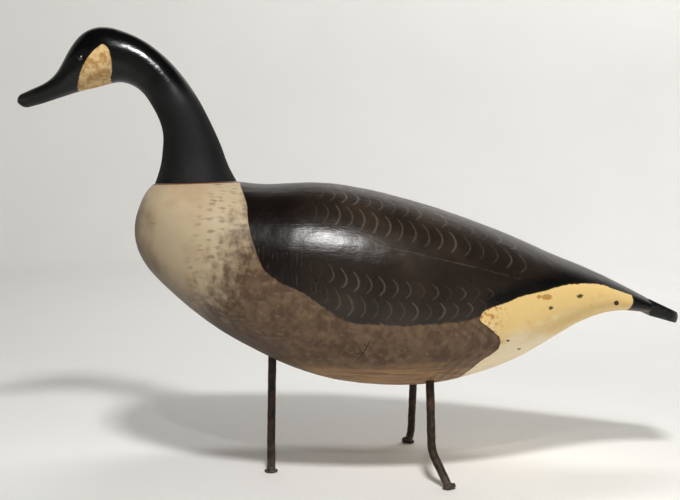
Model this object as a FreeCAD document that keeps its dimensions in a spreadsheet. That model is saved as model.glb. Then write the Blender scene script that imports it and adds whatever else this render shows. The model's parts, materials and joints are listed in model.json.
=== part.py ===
"""A standing goose field decoy: a carved, hollow wooden bird on three iron legs.

The bird faces -X with its left side towards -Y, and +Z is up. The origin lies on the ground
under the middle of the bird's box. Every length is in millimetres and every angle in degrees.

The body is a hollow hull closed by a thick back board. The head and neck are one carving that
turns on a loose dowel, and the dowel lifts out of the body. Each iron leg is a bent rod with an
upset head for a foot, and it pulls out of a blind socket in a block glued inside the hull.
"""

import FreeCAD, Part
import math
import os

import Sketcher
from FreeCAD import Placement, Rotation, Vector

DIMENSIONS = [
    ("seam_height", 287.5, "joint between the hull and the back board, above the ground"),
    ("wall", 18, "thickness of the hollow hull's sides and of the board over the hollow"),
    ("hull_floor", 20, "thickness of the hull under the hollow"),
    ("neck_ceiling", 288, "top of the hollow under the neck, where the wood stays thick"),
    ("ceiling_rise", 40, "how much higher the hollow may reach behind the neck"),
    ("rise_start", -128, "where the hollow starts to rise behind the neck"),
    ("rise_end", -70, "where the hollow is at its full height"),
    ("hollow_front", -226, "front end of the hollow"),
    ("hollow_back", 262, "back end of the hollow"),
    ("seat_x", -177.8, "middle of the flat neck seat"),
    ("seat_z", 331, "height of the middle of the neck seat"),
    ("seat_tilt", 1.75, "forward tilt of the neck seat"),
    ("seat_gap", 0.3, "gap between the neck and its seat"),
    ("seat_length", 112, "flat cut for the neck seat, along the bird"),
    ("seat_width", 160, "flat cut for the neck seat, across the bird"),
    ("dowel_radius", 12.7, "neck dowel, one inch across"),
    ("dowel_in_body", 70, "dowel below the neck seat"),
    ("dowel_in_neck", 60, "dowel above the neck seat"),
    ("running_gap", 0.05, "radial clearance of the dowel and of the rods in their holes"),
    ("end_gap", 1.5, "room between the dowel's ends and the ends of its holes"),
    ("neck_block_length", 78, "block under the neck seat, along the bird"),
    ("neck_block_width", 76, "block under the neck seat, across the bird"),
    ("neck_block_low", 244, "underside of the block under the neck seat"),
    ("rod_radius", 4.75, "iron leg rod, three eighths of an inch across"),
    ("socket_depth", 58, "length of rod held in the body, which is a leg's travel"),
    ("foot_radius", 8, "upset head at the end of a leg"),
    ("foot_thickness", 5, "upset head at the end of a leg"),
    ("foot_edge", 1.4, "rounding of the upset head's rim"),
    ("block_side", 56, "side of the square block around a leg's socket"),
    ("block_over", 12, "wood left above a leg's socket"),
    ("front_rise", 100, "front leg, from its bend to the belly"),
    ("front_shin", 34, "front leg, from its bend to the sole"),
    ("front_bend", 5, "front leg"),
    ("front_bend_radius", 60, "front leg"),
    ("left_rise", 76, "left leg, from its bend to the belly"),
    ("left_shin", 46, "left leg, from its bend to the sole"),
    ("left_bend", 26, "left leg"),
    ("left_bend_radius", 34, "left leg"),
    ("right_rise", 102, "right leg, from its bend to the belly"),
    ("right_shin", 16, "right leg, from its bend to the sole"),
    ("right_bend", 58, "right leg"),
    ("right_bend_radius", 11, "right leg"),
    ("tail_root", 343, "where the tail board leaves the hull"),
    ("tail_tip", 381.7, "end of the tail board"),
    ("tail_width", 62, "tail board"),
    ("root_top", 198.6, "upper side of the tail board where it leaves the hull"),
    ("root_low", 179.4, "under side of the tail board where it leaves the hull"),
    ("tip_top", 182.5, "upper side of the tail board near its end"),
    ("tip_low", 170.3, "under side of the tail board near its end"),
    ("tenon_length", 60, "tail board inside the hull"),
    ("tenon_width", 46, "tail board inside the hull"),
    ("tenon_thickness", 10, "tail board inside the hull"),
    ("tenon_drop", 8, "fall of the tenon from its end to the tail's root"),
    ("tenon_low", 183.5, "under side of the tenon at the tail's root"),
    ("tip_slope", 4, "run of the tail board's slanted end over its middle"),
    ("tip_undercut", 6, "run of the tail board's slanted end under its middle"),
    ("tail_corner", 22, "rounding of the tail board's corners, seen from above"),
    ("tail_edge", 3.5, "rounding of the tail board's edges"),
    ("eye_radius", 4, "glass bead eye"),
    ("eye_x", -301.6, "middle of the eyes"),
    ("eye_z", 471, "middle of the eyes"),
    ("eye_y", 25.2, "middle of the eyes, each side"),
    ("eye_pin_radius", 0.8, "wire pin behind the eye"),
    ("eye_pin_length", 11, "wire pin behind the eye"),
    ("nail_radius", 1.2, "shank of the small nails"),
    ("nail_head_radius", 2.6, "head of the small nails"),
    ("nail_head", 1.2, "thickness of the nails' heads"),
    ("seam_nail_length", 45, "nails through the back board, over all"),
    ("seam_nail_set", 4, "wood filler over the heads of the nails in the back board"),
    ("tail_nail_length", 36, "nails through the tenon, over all"),
    ("tail_nail_x", 299, "middle of the tail nails"),
    ("tail_nail_z", 197, "middle of the tail nails"),
]

# Side outlines of the body, each a smooth curve of (x, z) through a few points from the breast.
BREAST = (-247.4, 278)
BACK_LINE = [
    BREAST, (-241, 305), (-225, 329.6), (-178, 338.5), (-130, 332.3), (-104, 329.8), (-48, 331.9),
    (8, 326), (64, 313), (120, 296), (176, 275), (232, 250.5), (289, 226.5), (343, 199.5),
]
KEEL_LINE = [
    BREAST, (-237.5, 242), (-210, 211), (-163, 172), (-107, 138.5), (-46, 112), (25, 98.5),
    (96, 100), (164, 117), (206, 136), (262, 169), (310, 183), (343, 181),
]
# Half of the body's width seen from above, as (x, y).
PLAN_LINE = [
    (BREAST[0], 0), (-241, 38), (-222, 70), (-185, 97), (-125, 117), (-50, 126), (30, 125),
    (110, 113), (190, 90), (260, 64), (310, 46), (343, 37.5),
]
BODY_STATIONS = [
    -247.1, -245.8, -243, -238, -230, -218, -202, -180, -152, -118, -78, -34, 12, 60, 110, 160,
    205, 245, 280, 312, 343,
]
ROUNDNESS = 2.2

# Head and neck, from the seat to the bill: (throat point, nape point, half width), points (x, z).
NECK_STATIONS = [
    ((-225.0, 329.8), (-130.6, 332.2), 43.5),
    ((-218.5, 349), (-139.5, 349), 35),
    ((-215.5, 369), (-148, 372), 29.5),
    ((-215, 387), (-159, 397), 27),
    ((-219, 403), (-171, 421), 25.5),
    ((-227, 419), (-187, 447), 24.5),
    ((-238, 434.5), (-209, 472.5), 24.5),
    ((-251, 443.3), (-234, 492.5), 25.5),
    ((-266, 446.5), (-259, 504.3), 27.5),
    ((-283, 443), (-284, 508.8), 29),
    ((-299, 439.3), (-305, 500.9), 27.5),
    ((-313, 435.6), (-320.8, 481.3), 23.5),
    ((-327, 431.3), (-333.8, 459.2), 19),
    ((-342, 426.4), (-348.4, 446), 16.5),
    ((-357, 421.6), (-362.5, 439.5), 15.5),
    ((-369, 418.6), (-373.5, 434.5), 15),
    ((-377, 418.9), (-379.6, 430.2), 12),
    ((-381, 422), (-381.7, 426.4), 5),
]

# Each leg: where its rod enters the belly (x, y), which way the rod runs down from there,
# and which way its shin turns at the bend.
LEGS = {
    "front": ((-89, -21), (-0.012, -0.10, -1), (0.2, -1, -1)),
    "left": ((90, -58), (0.006, -0.27, -1), (0.45, -0.5, -1)),
    "right": ((81.5, 59), (-0.012, 0.31, -1), (-0.42, -0.85, -0.7)),
}

# Nails down through the back board's rim, one on each side: (x, distance in from the rim).
SEAM_NAILS = [(-212, 16), (-140, 12), (-60, 12), (20, 12), (84, 12)]
# Rings along the hollow, and how far its ends stop short of a point, as a share of its length.
HOLLOW_RINGS = 15
BLUNT_ENDS = 0.9985
TALL = 400
CLEARANCE = 10
OVERLAP = 1
NODES = []


def make_sheet(doc):
    """Writes the driving dimensions into a spreadsheet, one named cell each."""
    sheet = doc.addObject("Spreadsheet::Sheet", "dims")
    for row, (alias, value, meaning) in enumerate(DIMENSIONS, start=1):
        sheet.set(f"A{row}", meaning)
        sheet.set(f"B{row}", str(value))
        sheet.setAlias(f"B{row}", alias)
    doc.recompute()
    return sheet


def bind(thing, **sizes):
    """Binds properties of an object to expressions on the sheet's cells."""
    for name, expression in sizes.items():
        thing.setExpression(name.replace("__", "."), expression)
    return thing


def keep(thing, label):
    """Marks an object as a finished sub-part, whose label names its file."""
    thing.Label = label
    NODES.append(thing)
    return thing


def boolean(doc, kind, name, base, tool):
    """Makes a Part::Cut or Part::Common of two objects."""
    made = doc.addObject(f"Part::{kind}", name)
    made.Base = base
    made.Tool = tool
    made.Refine = False
    return made


def gather(doc, name, parts):
    """Fuses several solids into one."""
    made = doc.addObject("Part::MultiFuse", name)
    made.Shapes = parts
    made.Refine = False
    return made


def cut_all(doc, name, base, tools):
    """Cuts several tools out of an object, one after the other."""
    for count, tool in enumerate(tools, start=1):
        base = boolean(doc, "Cut", f"{name}{count}", base, tool)
    return base


def shaped(doc, name, shape):
    """Stores a free-form solid as an object of the document."""
    made = doc.addObject("Part::Feature", name)
    made.Shape = shape
    return made


class Outline:
    """A smooth curve through a few points, read as height over distance along the bird."""

    def __init__(self, points, start_tangent):
        curve = Part.BSplineCurve()
        flat = [Vector(x, value, 0) for x, value in points]
        end_tangent = flat[-1] - flat[-2]
        curve.interpolate(Points=flat, InitialTangent=start_tangent, FinalTangent=end_tangent.normalize())
        self.samples = curve.discretize(Number=800)

    def at(self, x):
        for a, b in zip(self.samples, self.samples[1:]):
            if a.x <= x <= b.x:
                share = (x - a.x) / (b.x - a.x) if b.x > a.x else 0
                return a.y + share * (b.y - a.y)
        return self.samples[0].y if x < self.samples[0].x else self.samples[-1].y


def ring(centre, up, side, roundness, count=20):
    """A closed superellipse wire about a centre, with half axes up and side."""
    points = []
    for i in range(count):
        turn = 2 * math.pi * (i + 0.5) / count
        c, s = math.cos(turn), math.sin(turn)
        u = math.copysign(abs(c) ** (2 / roundness), c)
        v = math.copysign(abs(s) ** (2 / roundness), s)
        points.append(centre + up * u + side * v)
    curve = Part.BSplineCurve()
    even = [i / count for i in range(count + 1)]
    curve.interpolate(Points=points, PeriodicFlag=True, Parameters=even)
    return Part.Wire(curve.toShape())


def body_ring(x, low, high, half_width, roundness=ROUNDNESS):
    """A cross-section of the body at a distance along the bird."""
    centre = Vector(x, 0, (low + high) / 2)
    return ring(centre, Vector(0, 0, (high - low) / 2), Vector(0, half_width, 0), roundness)


def body_outlines():
    back = Outline(BACK_LINE, Vector(0, 1, 0))
    keel = Outline(KEEL_LINE, Vector(0, -1, 0))
    plan = Outline(PLAN_LINE, Vector(0, 1, 0))
    return back, keel, plan


def carve_body(outlines):
    """The whole outside of the body, before it is cut into the hull and the back board."""
    back, keel, plan = outlines
    rings = [body_ring(x, keel.at(x), back.at(x), plan.at(x)) for x in BODY_STATIONS]
    return Part.makeLoft(rings, True, False)


def smooth_step(x, start, end):
    share = min(1, max(0, (x - start) / (end - start)))
    return share * share * (3 - 2 * share)


def carve_hollow(outlines, dims):
    """The hollow inside the body: thick wood stays under the neck, at the breast and at the tail."""
    back, keel, plan = outlines
    middle = (dims.hollow_front + dims.hollow_back) / 2
    half = (dims.hollow_back - dims.hollow_front) / 2
    rings = []
    for step in range(HOLLOW_RINGS):
        reach = -math.cos(math.pi * step / (HOLLOW_RINGS - 1)) * BLUNT_ENDS
        x = middle + half * reach
        rounding = (1 - reach ** 4) ** 0.5
        low = keel.at(x) + dims.hull_floor
        behind_neck = smooth_step(x, dims.rise_start, dims.rise_end)
        ceiling = dims.neck_ceiling + dims.ceiling_rise * behind_neck
        high = min(back.at(x) - dims.wall, ceiling)
        centre = (low + high) / 2
        rise = (high - low) / 2 * rounding
        side = (plan.at(x) - dims.wall) * rounding
        rings.append(body_ring(x, centre - rise, centre + rise, side))
    return Part.makeLoft(rings, True, False)


def carve_head():
    """The head, neck and bill in one piece, as a loft through slanted oval sections."""
    rings = []
    for throat, nape, half_width in NECK_STATIONS:
        low = Vector(throat[0], 0, throat[1])
        high = Vector(nape[0], 0, nape[1])
        rings.append(ring((low + high) / 2, (high - low) / 2, Vector(0, half_width, 0), 2.1, 16))
    return Part.makeLoft(rings, True, False)


def seat_frame(dims, height=0):
    """Placement on the neck seat, with its own Z along the dowel."""
    turn = Rotation(Vector(0, 1, 0), -dims.seat_tilt)
    middle = Vector(dims.seat_x, 0, dims.seat_z)
    return Placement(middle + turn.multVec(Vector(0, 0, height)), turn)


def make_neck_joint(doc, dims):
    """The dowel, the cutter for the flat seat and the bore that the dowel fits."""
    dowel = keep(doc.addObject("Part::Cylinder", "NeckDowel"), "neck_dowel")
    bind(dowel, Radius="dims.dowel_radius", Height="dims.dowel_in_body + dims.dowel_in_neck")
    dowel.Placement = seat_frame(dims, -dims.dowel_in_body)

    bore = doc.addObject("Part::Cylinder", "NeckBore")
    bind(
        bore,
        Radius="dims.dowel_radius + dims.running_gap",
        Height="dims.dowel_in_body + dims.dowel_in_neck + 2 * dims.end_gap",
    )
    bore.Placement = seat_frame(dims, -dims.dowel_in_body - dims.end_gap)

    above = doc.addObject("Part::Box", "AboveSeat")
    below = doc.addObject("Part::Box", "BelowNeck")
    for box, height in ((above, 0), (below, dims.seat_gap - dims.seat_length)):
        bind(box, Length="dims.seat_length", Width="dims.seat_width", Height="dims.seat_length")
        corner = Vector(-dims.seat_length / 2, -dims.seat_width / 2, height)
        box.Placement = seat_frame(dims).multiply(Placement(corner, Rotation()))
    return bore, above, below


def sketch_on(body, role, name):
    """A sketch on one of a body's own origin planes."""
    sketch = body.newObject("Sketcher::SketchObject", name)
    plane = next(p for p in body.Origin.OriginFeatures if p.Role == role)
    sketch.AttachmentSupport = [(plane, "")]
    sketch.MapMode = "FlatFace"
    return sketch


def name_size(sketch, name, index, expression):
    """Names a sketch constraint and binds it to the sheet."""
    sketch.renameConstraint(index, name)
    sketch.setExpression(f"Constraints.{name}", expression)


def draw_leg_path(body, side, dims):
    """The rod's centre line: down the socket's axis, round the bend at the origin, along the shin."""
    rise = getattr(dims, f"{side}_rise") + dims.socket_depth
    shin = getattr(dims, f"{side}_shin")
    radius = getattr(dims, f"{side}_bend_radius")
    bend = math.radians(getattr(dims, f"{side}_bend"))
    tangent = radius * math.tan(bend / 2)
    sketch = sketch_on(body, "XZ_Plane", f"{side}_path")
    arc_end = Vector(radius * (1 - math.cos(bend)), tangent - radius * math.sin(bend), 0)
    sole = Vector(shin * math.sin(bend), -shin * math.cos(bend), 0)
    circle = Part.Circle(Vector(radius, tangent, 0), Vector(0, 0, 1), radius)
    sketch.addGeometry(Part.LineSegment(Vector(0, rise, 0), Vector(0, tangent, 0)))
    sketch.addGeometry(Part.ArcOfCircle(circle, math.pi, math.pi + bend))
    sketch.addGeometry(Part.LineSegment(arc_end, sole))
    rule = Sketcher.Constraint
    sketch.addConstraint(rule("Tangent", 0, 2, 1, 1))
    sketch.addConstraint(rule("Tangent", 1, 2, 2, 1))
    sketch.addConstraint(rule("PointOnObject", 0, 1, -2))
    sketch.addConstraint(rule("PointOnObject", 0, 2, -2))
    top = sketch.addConstraint(rule("DistanceY", -1, 1, 0, 1, rise))
    turn = sketch.addConstraint(rule("Radius", 1, radius))
    across = sketch.addConstraint(rule("DistanceX", -1, 1, 2, 2, sole.x))
    down = sketch.addConstraint(rule("DistanceY", 2, 2, -1, 1, -sole.y))
    name_size(sketch, "top", top, f"dims.{side}_rise + dims.socket_depth")
    name_size(sketch, "turn", turn, f"dims.{side}_bend_radius")
    name_size(sketch, "across", across, f"dims.{side}_shin * sin(dims.{side}_bend)")
    name_size(sketch, "down", down, f"dims.{side}_shin * cos(dims.{side}_bend)")
    return sketch


def draw_rod_section(body, side, dims):
    """The rod's round section, at the top of its path."""
    sketch = sketch_on(body, "XY_Plane", f"{side}_section")
    sketch.setExpression("AttachmentOffset.Base.z", f"dims.{side}_rise + dims.socket_depth")
    sketch.addGeometry(Part.Circle(Vector(0, 0, 0), Vector(0, 0, 1), dims.rod_radius))
    rule = Sketcher.Constraint
    sketch.addConstraint(rule("Coincident", 0, 3, -1, 1))
    index = sketch.addConstraint(rule("Radius", 0, dims.rod_radius))
    name_size(sketch, "rod", index, "dims.rod_radius")
    return sketch


def leg_placement(side, belly, dims):
    """Puts a leg's bend where its rod comes down from the belly, with its shin the right way."""
    (x, y), run, toe = LEGS[side]
    down = Vector(*run).normalize()
    rise = getattr(dims, f"{side}_rise")
    bend_point = Vector(x, y, belly) + down * rise
    sideways = Vector(*toe)
    sideways = (sideways - down * sideways.dot(down)).normalize()
    turn = Rotation(sideways, Vector(0, 0, 0), down * -1, "ZXY")
    return Placement(bend_point, turn)


def make_leg(doc, side, belly, dims):
    """One iron leg, with its foot filed flat where it meets the ground, and its socket's cutter."""
    body = doc.addObject("PartDesign::Body", f"{side}_rod")
    path = draw_leg_path(body, side, dims)
    section = draw_rod_section(body, side, dims)
    doc.recompute()
    pipe = body.newObject("PartDesign::AdditivePipe", f"{side}_pipe")
    pipe.Profile = section
    pipe.Spine = path
    body.Placement = leg_placement(side, belly, dims)

    bend = getattr(dims, f"{side}_bend")
    shin = getattr(dims, f"{side}_shin")
    head = doc.addObject("Part::Cylinder", f"{side}_head")
    bind(head, Radius="dims.foot_radius", Height="dims.foot_thickness")
    along = Rotation(Vector(0, 1, 0), -bend)
    sole = along.multVec(Vector(0, 0, -shin))
    head.Placement = body.Placement.multiply(Placement(sole, along))
    doc.recompute()
    rounded = doc.addObject("Part::Fillet", f"{side}_rounded_head")
    rounded.Base = head
    rims = edges_where(head, lambda edge: edge.Curve.TypeId == "Part::GeomCircle")
    rounded.Edges = [(i, dims.foot_edge, dims.foot_edge) for i in rims]

    ground = doc.addObject("Part::Box", f"{side}_ground")
    reach = 3 * dims.foot_radius
    ground.Length, ground.Width, ground.Height = 2 * reach, 2 * reach, reach
    foot = head.Placement.Base
    ground.Placement = Placement(Vector(foot.x - reach, foot.y - reach, -reach), Rotation())
    whole = gather(doc, f"{side}_whole", [body, rounded])
    keep(boolean(doc, "Cut", f"{side}_filed", whole, ground), f"{side}_leg")

    socket = doc.addObject("Part::Cylinder", f"{side}_socket")
    bind(
        socket,
        Radius="dims.rod_radius + dims.running_gap",
        Height=f"dims.{side}_rise + dims.socket_depth",
    )
    socket.Placement = body.Placement
    return socket


def make_leg_block(doc, side, belly, hollow, socket, dims):
    """The wooden block around a leg's socket, fitted to the inside of the hull."""
    top = socket.Placement.multVec(Vector(0, 0, getattr(dims, f"{side}_rise") + dims.socket_depth))
    box = doc.addObject("Part::Box", f"{side}_block_blank")
    bind(box, Length="dims.block_side", Width="dims.block_side")
    box.Height = top.z + dims.block_over - belly
    half = dims.block_side / 2
    box.Placement = Placement(Vector(top.x - half, top.y - half, belly), Rotation())
    fitted = boolean(doc, "Common", f"{side}_block_fitted", box, hollow)
    keep(boolean(doc, "Cut", f"{side}_block", fitted, socket), f"{side}_leg_block")


def make_nail(doc, name, length, head_place):
    """A small nail whose head's top lies at the placement and whose shank runs along its -Z."""
    head = doc.addObject("Part::Cylinder", f"{name}_head")
    bind(head, Radius="dims.nail_head_radius", Height="dims.nail_head")
    shank = doc.addObject("Part::Cylinder", f"{name}_shank")
    bind(shank, Radius="dims.nail_radius", Height=length)
    doc.recompute()
    for piece in (head, shank):
        drop = Placement(Vector(0, 0, -piece.Height.Value), Rotation())
        piece.Placement = head_place.multiply(drop)
    return gather(doc, name, [head, shank])


def compound(doc, name, parts, label):
    """Keeps several like pieces as one sub-part."""
    group = doc.addObject("Part::Compound", name)
    group.Links = parts
    return keep(group, label)


def span(skin, start, end):
    """The box around the part of a straight line that lies inside the body."""
    return Part.makeLine(start, end).common(skin).BoundBox


def make_seam_nails(doc, skin, dims):
    """Nails down through the rim of the back board into the hull, with filler over their heads."""
    nails = []
    for x, inset in SEAM_NAILS:
        rim_level = dims.seam_height + OVERLAP
        rim = span(skin, Vector(x, 0, rim_level), Vector(x, TALL, rim_level)).YMax
        for side in (-1, 1):
            y = side * (rim - inset)
            top = span(skin, Vector(x, y, 0), Vector(x, y, TALL)).ZMax - dims.seam_nail_set
            place = Placement(Vector(x, y, top), Rotation())
            nails.append(make_nail(doc, f"seam_nail_{len(nails) + 1}", "dims.seam_nail_length", place))
    return compound(doc, "SeamNails", nails, "seam_nails")


def make_tail_nails(doc, skin, dims):
    """One nail from each side, flush with the hull, through the wood around the tenon."""
    x, z = dims.tail_nail_x, dims.tail_nail_z
    reach = span(skin, Vector(x, 0, z), Vector(x, TALL, z)).YMax
    nails = []
    for side, spin in ((-1, 90), (1, -90)):
        place = Placement(Vector(x, side * reach, z), Rotation(Vector(1, 0, 0), spin))
        nails.append(make_nail(doc, f"tail_nail_{len(nails) + 1}", "dims.tail_nail_length", place))
    return compound(doc, "TailNails", nails, "tail_nails")


def edges_where(thing, wanted):
    """Numbers of an object's edges that meet a condition."""
    return [i for i, edge in enumerate(thing.Shape.Edges, start=1) if wanted(edge)]


def runs_along(edge, axis):
    """Whether an edge's ends differ only along one axis, given as 0, 1 or 2."""
    run = edge.Vertexes[-1].Point - edge.Vertexes[0].Point
    return all(abs(run[i]) < 0.01 for i in range(3) if i != axis)


def make_tail_wedge(doc, dims):
    """The part of the tail board that shows, as a side outline padded to the board's width."""
    body = doc.addObject("PartDesign::Body", "TailBoard")
    sketch = sketch_on(body, "XZ_Plane", "tail_side")
    root, tip = dims.tail_root, dims.tail_tip
    nose = Vector(tip, (dims.tip_top + dims.tip_low) / 2, 0)
    corners = [
        Vector(root, dims.root_top, 0),
        Vector(tip - dims.tip_slope, dims.tip_top, 0),
        nose,
        Vector(tip - dims.tip_undercut, dims.tip_low, 0),
        Vector(root, dims.root_low, 0),
    ]
    for corner, following in zip(corners, corners[1:] + corners[:1]):
        sketch.addGeometry(Part.LineSegment(corner, following))
    pad = body.newObject("PartDesign::Pad", "tail_pad")
    pad.Profile = sketch
    pad.Midplane = True
    pad.setExpression("Length", "dims.tail_width")
    doc.recompute()

    def on_a_side(edge):
        flat = all(abs(abs(v.Y) - dims.tail_width / 2) < 0.01 for v in edge.Vertexes)
        return flat and not runs_along(edge, 2) and not runs_along(edge, 1)

    soft = body.newObject("PartDesign::Fillet", "tail_edges")
    soft.Base = (pad, [f"Edge{i}" for i in edges_where(pad, on_a_side)])
    soft.setExpression("Radius", "dims.tail_edge")
    return body


def make_tail_plan(doc, dims):
    """A box with two rounded corners, which gives the tail board its outline from above."""
    reach = dims.tail_tip - dims.tail_root
    box = doc.addObject("Part::Box", "tail_plan")
    bind(box, Width="dims.tail_width")
    box.Length, box.Height = 2 * reach, 2 * reach
    middle = (dims.root_top + dims.tip_low) / 2
    corner = Vector(dims.tail_root - reach, -dims.tail_width / 2, middle - reach)
    box.Placement = Placement(corner, Rotation())
    doc.recompute()

    def at_the_tip(edge):
        return runs_along(edge, 2) and edge.Vertexes[0].X > dims.tail_root

    rounded = doc.addObject("Part::Fillet", "tail_rounded_plan")
    rounded.Base = box
    rounded.Edges = [(i, dims.tail_corner, dims.tail_corner) for i in edges_where(box, at_the_tip)]
    return rounded


def make_tail(doc, skin, dims):
    """The tail board with its tenon, and the nails that hold it from both sides."""
    blade = boolean(doc, "Common", "tail_blade", make_tail_wedge(doc, dims), make_tail_plan(doc, dims))
    tenon = doc.addObject("Part::Box", "tail_tenon")
    bind(tenon, Length="dims.tenon_length", Width="dims.tenon_width", Height="dims.tenon_thickness")
    tilt = Rotation(Vector(0, 1, 0), math.degrees(math.atan2(dims.tenon_drop, dims.tenon_length)))
    at_root = Vector(dims.tail_root + OVERLAP, -dims.tenon_width / 2, dims.tenon_low)
    tenon.Placement = Placement(at_root - tilt.multVec(Vector(dims.tenon_length, 0, 0)), tilt)
    nails = make_tail_nails(doc, skin, dims)
    board = gather(doc, "TailWhole", [blade, tenon])
    keep(boolean(doc, "Cut", "TailInsert", board, nails), "tail_insert")
    return tenon, nails


def make_eyes(doc, dims):
    """Two bead eyes, each on a wire pin let into the head."""
    eyes = []
    for side, sign in (("left", -1), ("right", 1)):
        bead = doc.addObject("Part::Sphere", f"{side}_bead")
        bind(bead, Radius="dims.eye_radius")
        middle = Vector(dims.eye_x, sign * dims.eye_y, dims.eye_z)
        bead.Placement = Placement(middle, Rotation())
        pin = doc.addObject("Part::Cylinder", f"{side}_pin")
        bind(pin, Radius="dims.eye_pin_radius", Height="dims.eye_pin_length")
        pin.Placement = Placement(middle, Rotation(Vector(1, 0, 0), 90 * sign))
        eyes.append(keep(gather(doc, f"{side}_eye_whole", [bead, pin]), f"{side}_eye"))
    return eyes


def check(doc):
    """Stops on any failed object, and on any sub-part that isn't sound."""
    for thing in doc.Objects:
        if {"Invalid", "Error"} & set(thing.State):
            raise RuntimeError(f"{thing.Name} failed: {thing.State}")
    for node in NODES:
        shape = node.Shape
        if shape.isNull() or not shape.isValid() or not shape.Solids:
            raise RuntimeError(f"{node.Label} is not a sound solid")


def report():
    """Prints each sub-part's volume and size."""
    for node in NODES:
        shape = node.Shape
        box = shape.optimalBoundingBox()
        ends = f"x {box.XMin:7.1f} {box.XMax:7.1f}  y {box.YMin:7.1f} {box.YMax:7.1f}"
        ends += f"  z {box.ZMin:6.1f} {box.ZMax:6.1f}"
        print(f"{node.Label:16s} {len(shape.Solids):2d} solids {shape.Volume / 1000:8.1f} cm3  {ends}")


def make_seam_cutter(doc, skin):
    """A box around everything above the joint of the hull and the back board."""
    around = skin.BoundBox
    box = doc.addObject("Part::Box", "AboveSeam")
    box.Length = around.XLength + 2 * CLEARANCE
    box.Width = around.YLength + 2 * CLEARANCE
    box.Height = around.ZLength
    box.Placement = Placement(Vector(around.XMin - CLEARANCE, around.YMin - CLEARANCE, 0), Rotation())
    bind(box, Placement__Base__z="dims.seam_height")
    return box


def make_neck_block(doc, hollow, bore, dims):
    """The block under the neck seat, fitted to the hollow and bored for the dowel."""
    block = doc.addObject("Part::Box", "NeckBlockBlank")
    bind(block, Length="dims.neck_block_length", Width="dims.neck_block_width")
    bind(block, Height="dims.neck_ceiling - dims.neck_block_low")
    left = Vector(-dims.neck_block_length / 2, -dims.neck_block_width / 2, 0)
    block.Placement = Placement(left + Vector(dims.seat_x, 0, dims.neck_block_low), Rotation())
    fitted = boolean(doc, "Common", "NeckBlockFitted", block, hollow)
    keep(boolean(doc, "Cut", "NeckBlock", fitted, bore), "neck_block")


def make_legs(doc, skin, hollow, dims):
    """The three legs with their blocks, and the cutters for their sockets."""
    sockets = []
    for side, ((x, y), _, _) in LEGS.items():
        belly = span(skin, Vector(x, y, 0), Vector(x, y, TALL)).ZMin
        sockets.append(make_leg(doc, side, belly, dims))
        make_leg_block(doc, side, belly, hollow, sockets[-1], dims)
    return sockets


def main():
    doc = FreeCAD.newDocument("decoy")
    dims = make_sheet(doc)
    outlines = body_outlines()
    skin = shaped(doc, "BodySkin", carve_body(outlines))
    hollow = shaped(doc, "BodyHollow", carve_hollow(outlines, dims))
    above_seam = make_seam_cutter(doc, skin.Shape)
    upper = boolean(doc, "Common", "UpperBlank", skin, above_seam)
    lower = boolean(doc, "Cut", "LowerBlank", skin, above_seam)

    bore, above_seat, below_neck = make_neck_joint(doc, dims)
    nails = make_seam_nails(doc, skin.Shape, dims)
    tenon, tail_nails = make_tail(doc, skin.Shape, dims)
    sockets = make_legs(doc, skin.Shape, hollow, dims)
    make_neck_block(doc, hollow, bore, dims)
    keep(cut_all(doc, "BackBoard", upper, [hollow, above_seat, bore, nails]), "back_board")
    keep(cut_all(doc, "Hull", lower, [hollow, bore, tenon, tail_nails, nails, *sockets]), "hull")

    head = shaped(doc, "HeadSkin", carve_head())
    eyes = make_eyes(doc, dims)
    keep(cut_all(doc, "Head", head, [below_neck, bore, *eyes]), "head_and_neck")

    doc.recompute()
    check(doc)
    os.makedirs("parts", exist_ok=True)
    for node in NODES:
        node.Shape.exportStep(f"parts/{node.Label}.step")
    report()


main()
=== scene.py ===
"""Looks of the standing goose field decoy: old paint on carved wood, and forged iron legs.

The bird faces -X, its left side is towards -Y and the ground is z = 0. Lengths are in metres,
except in the lists of outline points, which are in millimetres as (x, z) or (x, y).
"""
import json
import math

import bmesh
import bpy
import numpy as np
from mathutils import Matrix, Vector, noise


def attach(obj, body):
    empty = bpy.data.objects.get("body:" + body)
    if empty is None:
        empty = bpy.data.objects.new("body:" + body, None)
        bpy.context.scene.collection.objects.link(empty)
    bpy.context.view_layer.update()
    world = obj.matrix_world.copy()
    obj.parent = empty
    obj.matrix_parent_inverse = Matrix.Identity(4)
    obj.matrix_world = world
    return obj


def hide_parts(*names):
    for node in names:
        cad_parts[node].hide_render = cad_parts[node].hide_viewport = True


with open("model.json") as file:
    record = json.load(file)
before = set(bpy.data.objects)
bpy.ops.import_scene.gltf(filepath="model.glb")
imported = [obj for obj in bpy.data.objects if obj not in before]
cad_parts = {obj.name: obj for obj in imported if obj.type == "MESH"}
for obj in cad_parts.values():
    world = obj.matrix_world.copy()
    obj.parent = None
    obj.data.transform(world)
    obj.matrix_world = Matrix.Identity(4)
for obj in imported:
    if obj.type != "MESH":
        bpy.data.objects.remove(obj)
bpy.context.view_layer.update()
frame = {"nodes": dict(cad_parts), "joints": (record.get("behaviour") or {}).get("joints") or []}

MM = 0.001

# ---------------------------------------------------------------- outlines of the carving

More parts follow.
